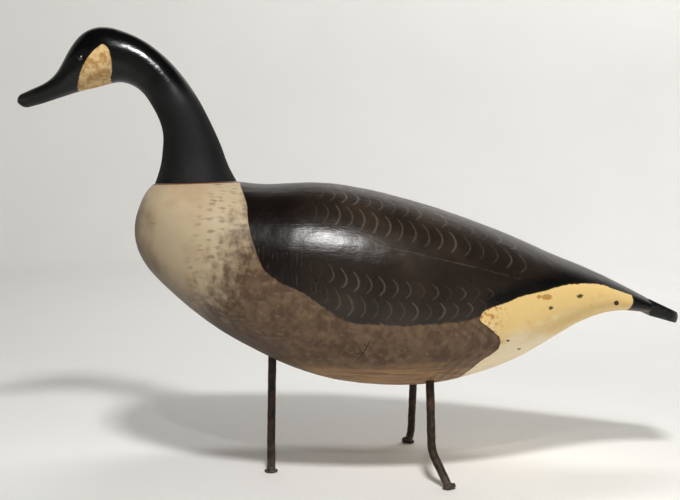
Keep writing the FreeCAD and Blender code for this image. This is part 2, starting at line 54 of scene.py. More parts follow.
BREAST = (-247.4, 278)
BACK_LINE = [
    BREAST, (-241, 305), (-225, 329.6), (-178, 338.5), (-130, 332.3), (-104, 329.8), (-48, 331.9),
    (8, 326), (64, 313), (120, 296), (176, 275), (232, 250.5), (289, 226.5), (343, 199.5),
]
KEEL_LINE = [
    BREAST, (-237.5, 242), (-210, 211), (-163, 172), (-107, 138.5), (-46, 112), (25, 98.5),
    (96, 100), (164, 117), (206, 136), (262, 169), (310, 183), (343, 181),
]
PLAN_LINE = [
    (BREAST[0], 0), (-241, 38), (-222, 70), (-185, 97), (-125, 117), (-50, 126), (30, 125),
    (110, 113), (190, 90), (260, 64), (310, 46), (343, 37.5),
]
BODY_ROUNDNESS = 2.2
HULL_END = 0.343
SEAM_HEIGHT = 0.2875
WALL = 0.018
HOLLOW = (-0.226, 0.262)
HOLLOW_FLOOR = 0.020
HOLLOW_CEILING_AT_NECK = 0.288
CEILING_RISE = 0.040
RISE_START = -0.128
RISE_LENGTH = 0.058

# Head and neck, from the seat to the bill: throat point, nape point and half width.
NECK_STATIONS = [
    ((-225.0, 329.8), (-130.6, 332.2), 43.5),
    ((-218.5, 349), (-139.5, 349), 35),
    ((-215.5, 369), (-148, 372), 29.5),
    ((-215, 387), (-159, 397), 27),
    ((-219, 403), (-171, 421), 25.5),
    ((-227, 419), (-187, 447), 24.5),
    ((-238, 434.5), (-209, 472.5), 24.5),
    ((-251, 443.3), (-234, 492.5), 25.5),
    ((-266, 446.5), (-259, 504.3), 27.5),
    ((-283, 443), (-284, 508.8), 29),
    ((-299, 439.3), (-305, 500.9), 27.5),
    ((-313, 435.6), (-320.8, 481.3), 23.5),
    ((-327, 431.3), (-333.8, 459.2), 19),
    ((-342, 426.4), (-348.4, 446), 16.5),
    ((-357, 421.6), (-362.5, 439.5), 15.5),
    ((-369, 418.6), (-373.5, 434.5), 15),
    ((-377, 418.9), (-379.6, 430.2), 12),
    ((-381, 422), (-381.7, 426.4), 5),
]
HEAD_ROUNDNESS = 2.1
SEAT_GAP = 0.0003
BORE_RADIUS = 0.01275
BORE_BELOW_SEAT = 0.0715
BORE_ABOVE_SEAT = 0.0615
SOCKET_RADIUS = 0.0052
SOCKET_LENGTH = 0.085
PAST_SURFACE = 0.01
CUT_TOLERANCE = 1e-7

# ---------------------------------------------------------------- paint, as painted edges

WING_EDGE = [
    (-124.4, 331), (-111.6, 309.3), (-107.7, 289.7), (-102.3, 271.6), (-95.3, 252.8), (-86.6, 238.4),
    (-69.2, 227.1), (-49.3, 217.9), (-20.1, 196.8), (-1.6, 187.2), (36.3, 183.7), (65.8, 182.2),
    (102.1, 184.5), (122.4, 185.9), (139, 190.8),
]
RUMP_TOP = [
    (139, 190.7), (148.9, 198.9), (168, 203.5), (186.3, 210.2), (206.2, 213.5), (246.3, 220.1),
    (267.7, 219.6), (298.6, 211.6), (310.9, 207.3), (343, 196),
]
# Where the cream rump starts, as (z, x).
RUMP_START = [
    (95, 118), (112, 124), (127.8, 134.9), (138.4, 144.5), (146.7, 155.9), (153.9, 161.9), (162.5, 162),
    (171, 155.6), (178.3, 147.3), (185.3, 139.2), (192, 136),
]
RUMP_END = [(150, 316), (190, 318), (202, 319.5), (208, 315), (215, 300)]
# Front and back of the cheek patch, as (z, x).
CHEEK_FRONT = [(430, -312), (437.2, -310.9), (445.2, -307.4), (457.6, -301.8), (472.9, -292), (486, -278)]
CHEEK_BACK = [(430, -277), (448, -271.9), (463.4, -267), (478.8, -269.3), (483, -271.5), (486, -278)]


# ---------------------------------------------------------------- curves and lofted solids

def cubic(knots, values, at, first_slope=None):
    """A cubic spline through values at the knots, read at other places."""
    count = len(knots)
    gaps = np.diff(knots)
    rises = np.diff(values, axis=0) / gaps[:, None]
    system = np.eye(count)
    bends = np.zeros_like(values)
    for i in range(1, count - 1):
        system[i, i - 1:i + 2] = gaps[i - 1], 2 * (gaps[i - 1] + gaps[i]), gaps[i]
        bends[i] = 6 * (rises[i] - rises[i - 1])
    if first_slope is not None:
        system[0, :2] = 2 * gaps[0], gaps[0]
        bends[0] = 6 * (rises[0] - np.array(first_slope))
    bends = np.linalg.solve(system, bends)
    i = np.clip(np.searchsorted(knots, at) - 1, 0, count - 2)
    gap, past, left = gaps[i], at - knots[i], knots[i + 1] - at
    gap, past, left = gap[:, None], past[:, None], left[:, None]
    curved = (bends[i] * left ** 3 + bends[i + 1] * past ** 3) / (6 * gap)
    start = (values[i] / gap - bends[i] * gap / 6) * left
    end = (values[i + 1] / gap - bends[i + 1] * gap / 6) * past
    return curved + start + end


class Outline:
    """A smooth line through a few points, read as height over distance along the bird."""

    def __init__(self, points, first_slope):
        values = np.array(points, float) * MM
        steps = np.linalg.norm(np.diff(values, axis=0), axis=1)
        knots = np.concatenate([[0], np.cumsum(steps)])
        line = cubic(knots, values, np.linspace(0, knots[-1], 3000), first_slope)
        self.x = np.maximum.accumulate(line[:, 0])
        self.height = line[:, 1]

    def at(self, x):
        return np.interp(x, self.x, self.height)


back_line = Outline(BACK_LINE, (0, 1))
keel_line = Outline(KEEL_LINE, (0, -1))
plan_line = Outline(PLAN_LINE, (0, 1))


def half_ring(columns, roundness):
    """Unit superellipse from its top, round its left side, to its bottom: (up, side) shares."""
    turn = np.linspace(0, math.pi, columns + 1)
    c, s = np.cos(turn), np.sin(turn)
    up = np.sign(c) * np.abs(c) ** (2 / roundness)
    side = np.abs(s) ** (2 / roundness)
    side[[0, -1]] = 0
    return up, side


def whole_ring(columns, roundness):
    """The same all the way round, back to the top along the right side; left is negative."""
    up, side = half_ring(columns, roundness)
    return np.concatenate([up, up[-2:0:-1]]), np.concatenate([-side, side[-2:0:-1]])


def mirrored(values):
    """Values of the left half's columns, repeated on the right half."""
    return np.concatenate([values, values[..., -2:0:-1]], axis=-1)


def new_object(name, mesh):
    made = bpy.data.objects.new(name, mesh)
    bpy.context.scene.collection.objects.link(made)
    return made


def loft(name, rows, maps=None, pointed_start=False, pointed_end=False):
    """A closed solid through rings of points, with UV maps given as a value for each point."""
    count, around = rows.shape[:2]
    points = rows.reshape(-1, 3)
    faces = []
    for i in range(count - 1):
        for j in range(around):
            k = (j + 1) % around
            a, b = i * around, (i + 1) * around
            faces.append((a + j, a + k, b + k, b + j))
    last = (count - 1) * around
    ends = [tuple(reversed(range(around))), tuple(range(last, last + around))]
    extra = []
    for pointed, end in zip((pointed_start, pointed_end), ends):
        if pointed:
            tip = len(points) + len(extra)
            extra.append(points[list(end)].mean(axis=0))
            faces += [(end[j], end[(j + 1) % around], tip) for j in range(around)]
        else:
            faces.append(end)
    mesh = bpy.data.meshes.new(name)
    mesh.from_pydata(np.vstack([points, *extra]).tolist(), [], faces)
    corners = np.zeros(len(mesh.loops), int)
    mesh.loops.foreach_get("vertex_index", corners)
    for title, (u, v) in (maps or {}).items():
        values = np.stack([u, v], axis=-1).reshape(-1, 2)
        values = np.vstack([values, np.zeros((len(extra), 2))])
        layer = mesh.uv_layers.new(name=title)
        layer.data.foreach_set("uv", values[corners].astype(np.float32).ravel())
    mesh.polygons.foreach_set("use_smooth", [True] * len(mesh.polygons))
    mesh.update()
    return new_object(name, mesh)


def shift_along_normals(thing, depth):
    """Moves each point along its normal by depth(place, normal)."""
    mesh = thing.data
    moved = [v.co + v.normal * depth(v.co, v.normal) for v in mesh.vertices]
    mesh.vertices.foreach_set("co", np.array(moved, np.float32).ravel())
    mesh.update()


def tool_marks(strength, seed):
    """Low facets and dents, as a spokeshave and a rasp leave them."""
    offset = Vector((seed, -seed, 2 * seed))

    def depth(place, normal):
        broad = noise.noise(place * 22 + offset)
        fine = noise.noise(place * 75 - offset)
        return strength * (broad + 0.35 * fine)

    return depth


def settle(thing):
    """Applies a piece's modifiers."""
    graph = bpy.context.evaluated_depsgraph_get()
    mesh = bpy.data.meshes.new_from_object(thing.evaluated_get(graph))
    thing.modifiers.clear()
    thing.data = mesh


def carve_away(thing, cutters):
    """Cuts solids out of a piece and removes them."""
    for cutter in cutters:
        modifier = thing.modifiers.new("cut", "BOOLEAN")
        modifier.operation = "DIFFERENCE"
        modifier.solver = "EXACT"
        modifier.object = cutter
    settle(thing)
    for cutter in cutters:
        bpy.data.objects.remove(cutter)


def slice_off(thing, point, normal):
    """Removes what lies past a plane and closes the cut with a flat face."""
    work = bmesh.new()
    work.from_mesh(thing.data)
    everything = work.verts[:] + work.edges[:] + work.faces[:]
    bmesh.ops.bisect_plane(
        work, geom=everything, plane_co=point, plane_no=normal, clear_outer=True, dist=CUT_TOLERANCE
    )
    rim = [edge for edge in work.edges if edge.is_boundary]
    bmesh.ops.edgeloop_fill(work, edges=rim)
    work.to_mesh(thing.data)
    work.free()
    thing.data.update()
    return thing


# A face with more corners than this is a flat cut, not skin.
MOST_SKIN_CORNERS = 8


def sharpen_flats(thing, angle=35):
    """Keeps edges sharp where flat cuts meet the carved skin."""
    work = bmesh.new()
    work.from_mesh(thing.data)
    for edge in work.edges:
        sharp = len(edge.link_faces) == 2 and edge.calc_face_angle(0) > math.radians(angle)
        edge.smooth = not sharp
    for face in work.faces:
        face.smooth = len(face.verts) <= MOST_SKIN_CORNERS
    work.to_mesh(thing.data)
    work.free()


def rod(name, start, end, radius, sides=48):
    """A plain round cutter between two points."""
    start, end = Vector(start), Vector(end)
    across = (end - start).to_track_quat("Z", "Y")
    rings = []
    for centre in (start, end):
        turns = [2 * math.pi * i / sides for i in range(sides)]
        ring = [across @ Vector((math.cos(t) * radius, math.sin(t) * radius, 0)) for t in turns]
        rings.append([tuple(centre + p) for p in ring])
    return loft(name, np.array(rings))


# ---------------------------------------------------------------- body

# Rows of feathers: the share of the way round from the top line to the dividing line under the
# back, then from there to the wing's edge, each with a row number.
BACK_ROWS = np.array([(0, 0), (0.18, 1), (0.38, 2), (0.66, 3), (0.95, 4), (1, 5)])
WING_ROWS = np.array([(0, 5), (0.40, 6), (0.67, 7), (0.97, 8), (1.6, 12)])
# The dividing line's distance round from the top line, as (x, arc).
DIVIDING_LINE = np.array([(-31, 126), (38, 130), (104, 122), (163, 108), (343, 60)]) * MM
FEATHER_PITCH = 0.0124
PITCH_START = -0.040
PITCH_GROWTH = 0.76
# How far behind the breast's foremost point the first ring lies.
FIRST_RING = 0.0001


def arc_to_height(rows, arcs, heights):
    """For each ring, the arc from the top line down to a height."""
    found = []
    for ring, arc, height in zip(rows, arcs, heights):
        order = np.argsort(ring[:, 2])
        found.append(np.interp(height, ring[order, 2], arc[order]))
    return np.array(found)


def body_skin(name, count=380, columns=116):
    """The whole body, with a map that follows the skin and one that counts rows of feathers."""
    step = np.linspace(0, 1, count)
    start = BREAST[0] * MM + FIRST_RING
    x = start + (HULL_END - start) * (1 - np.cos(step * math.pi / 2))
    high, low, half = back_line.at(x), keel_line.at(x), plan_line.at(x)
    up, side = whole_ring(columns, BODY_ROUNDNESS)
    rows = np.stack([
        np.repeat(x[:, None], len(up), axis=1),
        half[:, None] * side,
        ((high + low) / 2)[:, None] + ((high - low) / 2)[:, None] * up,
    ], axis=-1)
    left = rows[:, :columns + 1]
    steps = np.linalg.norm(np.diff(left, axis=1), axis=2)
    arcs = np.concatenate([np.zeros((count, 1)), np.cumsum(steps, axis=1)], axis=1)
    along = np.repeat(x[:, None], arcs.shape[1], axis=1)
    edge = np.array(WING_EDGE, float) * MM
    to_edge = arc_to_height(left, arcs, np.interp(x, edge[:, 0], edge[:, 1]))[:, None]
    to_line = np.interp(x, DIVIDING_LINE[:, 0], DIVIDING_LINE[:, 1])[:, None]
    upper = np.interp(arcs / to_line, BACK_ROWS[:, 0], BACK_ROWS[:, 1])
    room = np.maximum(to_edge - to_line, 0.02)
    lower = np.interp((arcs - to_line) / room, WING_ROWS[:, 0], WING_ROWS[:, 1])
    row = np.where(arcs < to_line, upper, lower)
    reach = np.maximum(0.2, 1 + (along - PITCH_START) / PITCH_GROWTH)
    number = PITCH_GROWTH / FEATHER_PITCH * np.log(reach)
    maps = {
        "skin": (mirrored(along), mirrored(arcs)),
        "feathers": (mirrored(number), mirrored(row)),
    }
    body = loft(name, rows, maps, pointed_start=True)
    shift_along_normals(body, tool_marks(0.0005, 3.1))
    return body


def hollow_solid(name, count=60, columns=24):
    """The space inside the hull and the back board."""
    middle, reach = (HOLLOW[0] + HOLLOW[1]) / 2, (HOLLOW[1] - HOLLOW[0]) / 2
    share = -np.cos(np.linspace(0.03, math.pi - 0.03, count))
    x = middle + reach * share
    rounding = np.sqrt(1 - share ** 4)
    past_neck = np.clip((x - RISE_START) / RISE_LENGTH, 0, 1)
    past_neck = past_neck ** 2 * (3 - 2 * past_neck)
    low = keel_line.at(x) + HOLLOW_FLOOR
    high = np.minimum(back_line.at(x) - WALL, HOLLOW_CEILING_AT_NECK + CEILING_RISE * past_neck)
    up, side = whole_ring(columns, BODY_ROUNDNESS)
    rows = np.stack([
        np.repeat(x[:, None], len(up), axis=1),
        ((plan_line.at(x) - WALL) * rounding)[:, None] * side,
        ((high + low) / 2)[:, None] + ((high - low) / 2 * rounding)[:, None] * up,
    ], axis=-1)
    return loft(name, rows, pointed_start=True, pointed_end=True)


def ease_seam(thing, groove=0.00002, width=0.0005):
    """Breaks the sharp edge along the joint of the hull and the back board."""
    work = bmesh.new()
    work.from_mesh(thing.data)
    inside = 1 if max(v.co.z for v in work.verts) > SEAM_HEIGHT + 0.001 else -1
    everything = work.verts[:] + work.edges[:] + work.faces[:]
    level = Vector((0, 0, SEAM_HEIGHT + inside * width))
    bmesh.ops.bisect_plane(work, geom=everything, plane_co=level, plane_no=(0, 0, 1), dist=CUT_TOLERANCE)
    for v in work.verts:
        if abs(v.co.z - SEAM_HEIGHT) < 1e-6:
            outward = Vector((v.co.x * 0.35, v.co.y, 0))
            v.co -= outward.normalized() * groove
    work.to_mesh(thing.data)
    work.free()


def top_of_rod(node, down):
    """Middle of the upper end of a leg's rod."""
    down = Vector(down)
    points = [v.co.copy() for v in frame["nodes"][node].data.vertices]
    top = min(p.dot(down) for p in points)
    end = [p for p in points if p.dot(down) < top + 1e-5]
    return sum(end, Vector()) / len(end)


def leg_joints():
    return [joint for joint in frame["joints"] if joint["name"].endswith("_leg_pull")]


def socket_cutters():
    for joint in leg_joints():
        down = Vector(joint["axis"])
        top = top_of_rod(joint["child"], down)
        yield rod("socket", top - down * 0.0005, top + down * SOCKET_LENGTH, SOCKET_RADIUS)


def neck_axis():
    turn = next(joint for joint in frame["joints"] if joint["name"] == "head_turn")
    return Vector(turn["pos_m"]), Vector(turn["axis"])


def neck_bore(below, above):
    seat, up = neck_axis()
    return rod("bore", seat - up * below, seat + up * above, BORE_RADIUS)


def pebble(name, place, size, turn=0.0):
    """A small oval cutter for a dent in the left flank, its depth across the bird."""
    up, side = whole_ring(10, 2)
    rows = []
    for t in np.linspace(-0.96, 0.96, 12):
        ring = math.sqrt(1 - t * t)
        rows.append([(size[0] * s * ring, size[1] * t, size[2] * u * ring) for u, s in zip(up, side)])
    made = loft(name, np.array(rows), pointed_start=True, pointed_end=True)
    made.data.transform(Matrix.Rotation(turn, 4, "Y"))
    made.data.transform(Matrix.Translation(place))
    return made


def skin_side(x, z):
    """How far the body's side is from its middle plane at a place on its side view."""
    high, low, half = back_line.at(x), keel_line.at(x), plan_line.at(x)
    share = min(1, abs(z - (high + low) / 2) / ((high - low) / 2))
    return half * (1 - share ** BODY_ROUNDNESS) ** (1 / BODY_ROUNDNESS)


# Chips in the rump's left side: x, z, half length, half height, depth and lean.
CHIPS = [
    (0.2539, 0.2070, 0.0034, 0.0018, 0.0011, -0.7),
    (0.2191, 0.1956, 0.0023, 0.0016, 0.0008, -0.6),
    (0.1868, 0.1486, 0.0019, 0.0010, 0.0007, -0.2),
    (0.1714, 0.1610, 0.0017, 0.0010, 0.0007, -0.2),
]
# The age crack in the left flank: lines of (x, z) points, and the half width where each starts.
CRACK_ARMS = [
    ([(13.7, 151), (17.8, 159.1), (20.8, 166)], 0.45),
    ([(13.7, 151), (11.0, 147.2), (7.5, 143)], 0.45),
    ([(13.7, 151), (8.0, 151.6), (2.6, 150.9)], 0.35),
    ([(17.8, 159.1), (14.3, 162.9)], 0.35),
    ([(13.4, 151.4), (9.8, 157)], 0.35),
]


def crack_cutter(points, half_width, depth=0.0014):
    """A thin wedge along one arm of the crack, tapering to its end."""
    rings = []
    places = np.array(points) * MM
    knots = np.arange(len(places), dtype=float)
    line = cubic(knots, places, np.linspace(0, knots[-1], 4 * len(places)))
    for i, (x, z) in enumerate(line):
        ahead = line[min(i + 1, len(line) - 1)] - line[max(i - 1, 0)]
        across = np.array([-ahead[1], ahead[0]]) / np.linalg.norm(ahead)
        taper = half_width * MM * (1 - 0.85 * i / len(line))
        side = skin_side(x, z)
        rings.append([
            (x + across[0] * taper, -side - 0.001, z + across[1] * taper),
            (x, -side + depth, z),
            (x - across[0] * taper, -side - 0.001, z - across[1] * taper),
        ])
    return loft("crack", np.array(rings))


def make_body():
    """The hull and the back board, cut from one skin and hollowed."""
    seam = Vector((0, 0, SEAM_HEIGHT))
    hull = slice_off(body_skin("hull_carving"), seam, Vector((0, 0, 1)))
    board = slice_off(body_skin("back_board_carving"), seam, Vector((0, 0, -1)))
    seat, up = neck_axis()
    slice_off(board, seat, up)
    for piece in (hull, board):
        ease_seam(piece)
    chips = [
        pebble("chip", (x, -skin_side(x, z), z), (long, deep, tall), lean)
        for x, z, long, tall, deep, lean in CHIPS
    ]
    cracks = [crack_cutter(points, width) for points, width in CRACK_ARMS]
    hull_bore = neck_bore(BORE_BELOW_SEAT, PAST_SURFACE)
    carve_away(hull, [hollow_solid("space"), hull_bore, *socket_cutters(), *chips, *cracks])
    carve_away(board, [hollow_solid("space"), neck_bore(BORE_BELOW_SEAT, PAST_SURFACE)])
    for piece, node, slot in (
        (hull, "hull", "breast_and_flank_paint"),
        (board, "back_board", "back_paint"),
    ):
        sharpen_flats(piece)
        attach(piece, "body")
        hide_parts(node)
    return hull, board


# ---------------------------------------------------------------- head, tail and legs

def make_head(count=300, columns=44):
    """The head, neck and bill, bored for the dowel."""
    stations = np.array([[*throat, *nape, width] for throat, nape, width in NECK_STATIONS], float) * MM
    middles = (stations[:, 0:2] + stations[:, 2:4]) / 2
    knots = np.concatenate([[0], np.cumsum(np.linalg.norm(np.diff(middles, axis=0), axis=1))])
    places = cubic(knots, stations, np.linspace(0, knots[-1], count))
    up, side = whole_ring(columns, HEAD_ROUNDNESS)
    low, high, half = places[:, 0:2], places[:, 2:4], places[:, 4]
    middle, rise = (low + high) / 2, (high - low) / 2
    rows = np.stack([
        middle[:, :1] + rise[:, :1] * up,
        half[:, None] * side,
        middle[:, 1:] + rise[:, 1:] * up,
    ], axis=-1)
    head = loft("head_carving", rows, pointed_end=True)
    shift_along_normals(head, tool_marks(0.00035, 7.7))
    seat, up = neck_axis()
    slice_off(head, seat + up * SEAT_GAP, -up)
    carve_away(head, [neck_bore(PAST_SURFACE, BORE_ABOVE_SEAT)])
    sharpen_flats(head)
    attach(head, "head")
    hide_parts("head_and_neck")
    return head


def remade(node, name, voxel):
    """A fine, even mesh in the shape of a CAD node."""
    piece = new_object(name, frame["nodes"][node].data.copy())
    piece.data.materials.clear()
    remesh = piece.modifiers.new("remesh", "REMESH")
    remesh.mode = "VOXEL"
    remesh.voxel_size = voxel
    smooth = piece.modifiers.new("smooth", "CORRECTIVE_SMOOTH")
    smooth.use_only_smooth = True
    smooth.iterations = 3
    settle(piece)
    piece.data.polygons.foreach_set("use_smooth", [True] * len(piece.data.polygons))
    return piece


def hammer_marks(place, normal):
    """Shallow flats and scale, as a smith leaves them on a hot rod."""
    flats = noise.noise(place * 160)
    scale = noise.noise(place * 520 + Vector((4, 1, 7)))
    return 0.00028 * flats + 0.00007 * scale


def make_leg(joint):
    node = joint["child"]
    leg = remade(node, node + "_iron", 0.0009)
    shift_along_normals(leg, hammer_marks)
    for v in leg.data.vertices:
        v.co.z = max(v.co.z, 0)
    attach(leg, node)
    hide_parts(node)
    return leg


def make_tail():
    tail = remade("tail_insert", "tail_board", 0.0011)
    shift_along_normals(tail, tool_marks(0.0003, 5.5))
    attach(tail, "body")
    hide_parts("tail_insert")
    return tail


# ---------------------------------------------------------------- material building

class Field:
    """A number that varies over the surface, which adds and multiplies like a number."""

    def __init__(self, graph, socket):
        self.graph = graph
        self.socket = socket

    def __add__(self, other):
        return self.graph.math("ADD", self, other)

    def __sub__(self, other):
        return self.graph.math("SUBTRACT", self, other)

    def __rsub__(self, other):
        return self.graph.math("SUBTRACT", other, self)

    def __mul__(self, other):
        return self.graph.math("MULTIPLY", self, other)

    def __truediv__(self, other):
        return self.graph.math("DIVIDE", self, other)

    __radd__ = __add__
    __rmul__ = __mul__


class Graph:
    """A material's nodes, built from short expressions."""

    def __init__(self, name):
        self.material = bpy.data.materials.new(name)
        self.material.use_nodes = True
        self.tree = self.material.node_tree
        self.shader = self.tree.nodes["Principled BSDF"]
        self.place = self.node("TexCoord").outputs["Object"]
        self.x, self.y, self.z = self.split(self.place)

    def node(self, kind, inputs=None, **settings):
        made = self.tree.nodes.new("ShaderNode" + kind)
        for name, value in settings.items():
            setattr(made, name, value)
        for name, value in (inputs or {}).items():
            self.feed(made.inputs[name], value)
        return made

    def feed(self, socket, value):
        if isinstance(value, Field):
            value = value.socket
        if isinstance(value, bpy.types.NodeSocket):
            self.tree.links.new(value, socket)
        elif isinstance(value, tuple) and len(socket.default_value) == 4 and len(value) == 3:
            socket.default_value = (*value, 1)
        else:
            socket.default_value = value

    def math(self, operation, *values):
        made = self.node("Math", operation=operation)
        for socket, value in zip(made.inputs, values):
            self.feed(socket, value)
        return Field(self, made.outputs[0])

    def split(self, vector):
        parts = self.node("SeparateXYZ", {"Vector": vector})
        return [Field(self, parts.outputs[i]) for i in range(3)]

    def join(self, x, y, z=0.0):
        return self.node("CombineXYZ", {"X": x, "Y": y, "Z": z}).outputs[0]

    def map(self, title):
        """A mesh's UV map, as two fields."""
        u, v, _ = self.split(self.node("UVMap", uv_map=title).outputs[0])
        return u, v

    def smooth(self, value, low, high):
        """0 below low and 1 above high, with a soft step between; low may be the larger."""
        made = self.node(
            "MapRange", {"Value": value, "From Min": low, "From Max": high},
            interpolation_type="SMOOTHSTEP",
        )
        return Field(self, made.outputs[0])

    def curve(self, value, points):
        """A line through (input, output) points given in millimetres."""
        places = np.array(points, float) * MM
        low, span = places.min(axis=0), np.ptp(places, axis=0)
        made = self.node("FloatCurve", {"Value": (value - low[0]) / span[0]})
        line = made.mapping.curves[0]
        shares = (places - low) / span
        while len(line.points) < len(shares):
            line.points.new(0.5, 0.5)
        for point, share in zip(line.points, shares):
            point.location = share
            point.handle_type = "AUTO"
        made.mapping.update()
        return Field(self, made.outputs[0]) * span[1] + low[1]

    def noise(self, scale, detail=3.0, stretch=(1, 1, 1), shift=0.0, rough=0.55):
        """Noise from 0 to 1, its scale in waves over a metre."""
        moved = self.node(
            "Mapping", {"Vector": self.place, "Location": (shift, shift, shift), "Scale": stretch}
        )
        made = self.node(
            "TexNoise",
            {"Vector": moved.outputs[0], "Scale": scale, "Detail": detail, "Roughness": rough},
        )
        return Field(self, made.outputs["Fac"])

    def cells(self, place, randomness):
        """Distance to the middle of scattered cells, and a random number for each cell."""
        made = self.node("TexVoronoi", {"Vector": place, "Scale": 1.0, "Randomness": randomness})
        pick = self.split(made.outputs["Color"])[0]
        return Field(self, made.outputs["Distance"]), pick

    def mix(self, share, first, second):
        made = self.node("Mix", data_type="RGBA")
        self.feed(made.inputs[0], share)
        self.feed(made.inputs[6], first)
        self.feed(made.inputs[7], second)
        return made.outputs[2]

    def bump(self, *layers):
        """Bump from (height, depth in metres) layers, finest last."""
        normal = None
        for height, depth in layers:
            inputs = {"Height": height, "Distance": depth, "Strength": 1.0}
            if normal is not None:
                inputs["Normal"] = normal
            normal = self.node("Bump", inputs).outputs[0]
        return normal

    def finish(self, colour, roughness, normal=None, **uniform):
        self.feed(self.shader.inputs["Base Color"], colour)
        self.feed(self.shader.inputs["Roughness"], roughness)
        if normal is not None:
            self.feed(self.shader.inputs["Normal"], normal)
        for name, value in uniform.items():
            self.feed(self.shader.inputs[name.replace("_", " ")], value)
        return self.material


# ---------------------------------------------------------------- paints

CREAM = (0.481, 0.391, 0.264)
OLIVE = (0.20, 0.16, 0.10)
FLANK = (0.159, 0.096, 0.053)
FLANK_DARK = (0.086, 0.046, 0.025)
FLANK_LIGHT = (0.285, 0.184, 0.108)
PAINTED_SHADE = (0.041, 0.025, 0.015)
BELLY_TAN = (0.40, 0.25, 0.125)
RUMP = (0.76, 0.56, 0.25)
RUMP_STAIN = (0.44, 0.22, 0.06)
WING = (0.021, 0.014, 0.010)
WING_DARK = (0.007, 0.004, 0.003)
WING_LIGHT = (0.050, 0.034, 0.023)
STROKE = (0.116, 0.099, 0.08)
BLACK = (0.003, 0.003, 0.003)
BLACK_WORN = (0.016, 0.012, 0.009)
TAN = (0.391, 0.261, 0.15)
RED_BROWN = (0.16, 0.060, 0.030)
CRACK_DARK = (0.012, 0.008, 0.005)
BARE_PINE = (0.55, 0.36, 0.19)


# Where the middle of a feather's edge lies in its row, from 0 to 1.
ROW_MIDDLE = 0.46


def crescents(g):
    """Feather edges in staggered rows: thin arcs, convex towards the tail, one in each cell."""
    number, row_place = g.map("feathers")
    row_place = row_place + (g.noise(26, 2, shift=5) - 0.5) * 0.12
    row = g.math("FLOOR", row_place)
    down = row_place - row
    number = number + g.math("MODULO", row, 2.0) * 0.5 + (g.noise(40, 2, shift=9) - 0.5) * 0.25
    cell = g.math("FLOOR", number)
    along = number - cell
    pick = g.node("TexWhiteNoise", {"Vector": g.join(cell, row)}, noise_dimensions="2D")
    luck = Field(g, pick.outputs["Value"])
    from_middle = down - ROW_MIDDLE
    bow = 0.84 - from_middle * from_middle * 2.4
    off = g.math("ABSOLUTE", along - bow)
    width = 0.05 + luck * 0.035
    line = g.smooth(off / width, 1.8, 0.2)
    ends = g.smooth(g.math("ABSOLUTE", from_middle), 0.46, 0.36)
    broken = g.smooth(g.noise(900, 2, shift=3), 0.30, 0.52)
    return line * ends * broken * (0.35 + luck * 0.65), row_place


def wing_paint(g):
    """Dark brown with a lighter bloom, feather edges and a black band over the rump."""
    arcs, row_place = crescents(g)
    behind_shoulder = g.smooth(g.x, -0.055, -0.005)
    streaks = g.noise(240, 3, stretch=(3.2, 1, 0.35), shift=2)
    bloom = g.smooth(g.noise(18, 3, shift=1), 0.40, 0.68) * behind_shoulder * g.smooth(g.x, 0.16, 0.10)
    colour = g.mix(g.smooth(g.x, -0.030, -0.075), WING, WING_DARK)
    colour = g.mix(bloom * 0.7, colour, WING_LIGHT)
    colour = g.mix(g.smooth(streaks, 0.54, 0.70) * 0.3, colour, WING_LIGHT)
    in_rows = g.smooth(row_place, 5.9, 6.05) + g.smooth(row_place, 4.0, 3.95)
    visible = arcs * in_rows * behind_shoulder * g.smooth(g.x, 0.205, 0.175)
    colour = g.mix(visible * 0.85, colour, STROKE)
    hatch = g.smooth(g.math("SINE", g.x * 1250 + g.noise(50, 2) * 4), 0.75, 0.98)
    hatched = g.smooth(g.z, 0.285, 0.272) * g.smooth(g.x, -0.02, -0.05) * g.smooth(streaks, 0.40, 0.55)
    broken = g.smooth(g.noise(150, 3, stretch=(1, 1, 0.4), shift=10), 0.48, 0.66)
    colour = g.mix(hatch * hatched * broken * 0.35, colour, STROKE)
    line = g.smooth(row_place, 4.90, 4.99) * g.smooth(row_place, 5.045, 5.01)
    line = line * g.smooth(g.noise(90, 2, shift=6), 0.34, 0.5) * behind_shoulder
    colour = g.mix(line * 0.45, colour, STROKE)
    band_top = g.curve(g.x, RUMP_TOP) + 0.022
    band = g.smooth(g.z + (g.noise(60, 2) - 0.5) * 0.006, band_top, band_top - 0.016)
    band = band * g.smooth(g.x, 0.128, 0.165)
    return g.mix(band, colour, BLACK)


# Dabs in a metre of the body's length, and rows of them in a metre round its skin.
DABS_ALONG = 84
DABS_AROUND = 172


def dabs(g):
    """Short level dabs of the brush, scattered in close rows over the breast."""
    along, around = g.map("skin")
    near, luck = g.cells(g.join(along * DABS_ALONG, around * DABS_AROUND), 0.72)
    uneven = (g.noise(330, 3, stretch=(0.6, 1, 1.4)) - 0.5) * 0.8
    placed = g.smooth(g.x - g.z * 0.12, -0.214, -0.184) * g.smooth(g.x, -0.02, -0.08)
    return g.smooth(near + uneven, 0.50, 0.20) * placed * (0.35 + luck * 0.65)


